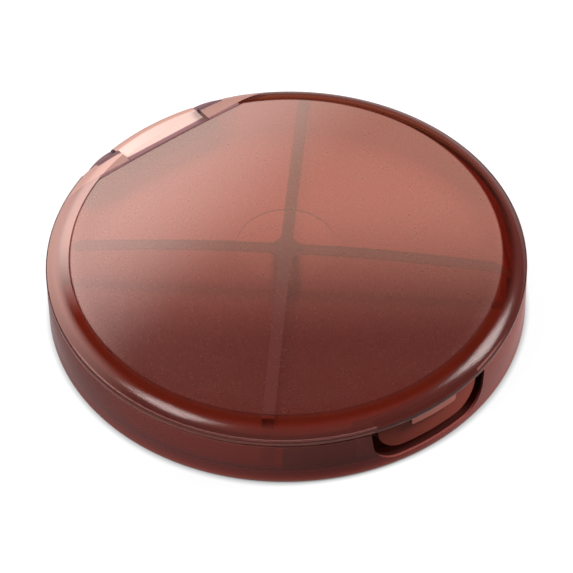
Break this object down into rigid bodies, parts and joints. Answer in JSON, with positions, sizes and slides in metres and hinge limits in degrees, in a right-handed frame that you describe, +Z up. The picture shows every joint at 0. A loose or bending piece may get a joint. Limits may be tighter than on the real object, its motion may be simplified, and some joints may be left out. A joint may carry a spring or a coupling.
{
  "type": "pill organizer",
  "caption": "Flat round pill case in tinted clear plastic: a tray with a cross divider under a domed frosted lid that swings on a hinge and snaps shut with a tab.",
  "frame": {"origin": "middle of the round underside, on the surface that the case stands on", "axes": "+Z up through the middle of the lid, -Y towards the latch tab, +Y towards the hinge, +X to the right as seen from the latch"},
  "size_m": [0.08, 0.08, 0.0144],
  "materials": {
    "tray_plastic": "clear plastic with a smoky red-brown tint, polished",
    "lid_plastic": "clear plastic with a smoky rose-brown tint, polished on the rim and frosted on the disc",
    "divider_plastic": "clear plastic with a smoky rose-brown tint",
    "pin_steel": "plain drawn steel wire"
  },
  "bodies": {
    "tray": {"base_tray": "tray_plastic", "compartment_divider": "divider_plastic", "hinge_pin_left": "pin_steel", "hinge_pin_right": "pin_steel"},
    "lid": {"lid": "lid_plastic"}
  },
  "joints": [
    {"name": "lid_hinge", "type": "hinge", "parent": "tray", "child": "lid", "pos_m": [0, 0.038, 0.009], "axis": [-1, 0, 0], "range_deg": [0, 180]}
  ]
}
